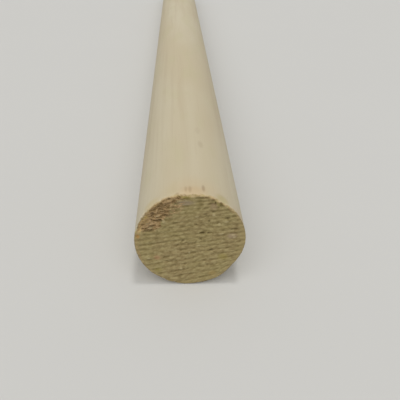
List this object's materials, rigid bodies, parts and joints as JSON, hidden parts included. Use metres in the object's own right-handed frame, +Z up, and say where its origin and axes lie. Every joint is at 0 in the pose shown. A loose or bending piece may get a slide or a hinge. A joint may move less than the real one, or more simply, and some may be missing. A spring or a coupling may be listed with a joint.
{
  "type": "wooden dowel rod",
  "caption": "Plain round rod of pale straight-grained wood with a rough sawn end and a plain cut end, for pegs, axles, rails and handles.",
  "frame": {"origin": "centre of the rough sawn end face, on the rod's axis", "axes": "+Y along the rod from the sawn end to the cut end, +Z up as it lies, +X to the right when looking at the sawn end"},
  "size_m": [0.019, 0.3048, 0.019],
  "materials": {
    "wood": "bare sanded wood, rough sawn end grain"
  },
  "bodies": {
    "root": {"dowel_rod": "wood"}
  },
  "joints": []
}
